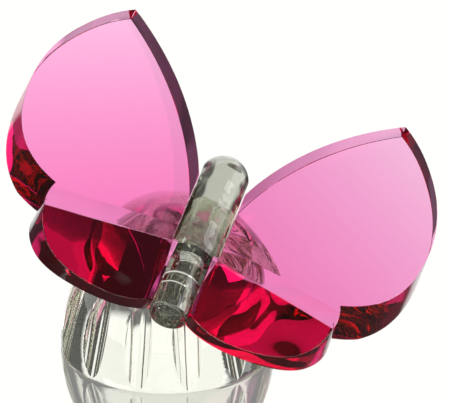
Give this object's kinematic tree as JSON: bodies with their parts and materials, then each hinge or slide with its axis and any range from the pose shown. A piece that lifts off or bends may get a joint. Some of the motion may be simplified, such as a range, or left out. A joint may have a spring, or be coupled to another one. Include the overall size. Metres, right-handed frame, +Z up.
{
  "type": "butterfly ornament",
  "caption": "Free-standing crystal ornament: pink slab-winged butterfly with a clear body, bonded askew on a clear dome with olive cuts.",
  "frame": {"origin": "middle of the round flat underside of the dome, on the surface it stands on", "axes": "+Z up, the way the dome's axis points; +X to the viewer's right and -Y towards the viewer of the tail side"},
  "size_m": [0.1179, 0.0878, 0.0851],
  "materials": {
    "clear_crystal_base": "cut and polished",
    "clear_crystal_body": "polished",
    "pink_crystal": "cut and polished",
    "clear_adhesive": "clear cured film"
  },
  "bodies": {
    "root": {"base_dome": "clear_crystal_base", "thorax": "clear_crystal_body", "abdomen": "clear_crystal_body", "left_wing": "pink_crystal", "right_wing": "pink_crystal", "seat_bond": "clear_adhesive", "waist_bond": "clear_adhesive", "left_thorax_bond": "clear_adhesive", "right_thorax_bond": "clear_adhesive", "left_abdomen_bond": "clear_adhesive", "right_abdomen_bond": "clear_adhesive"}
  },
  "joints": []
}
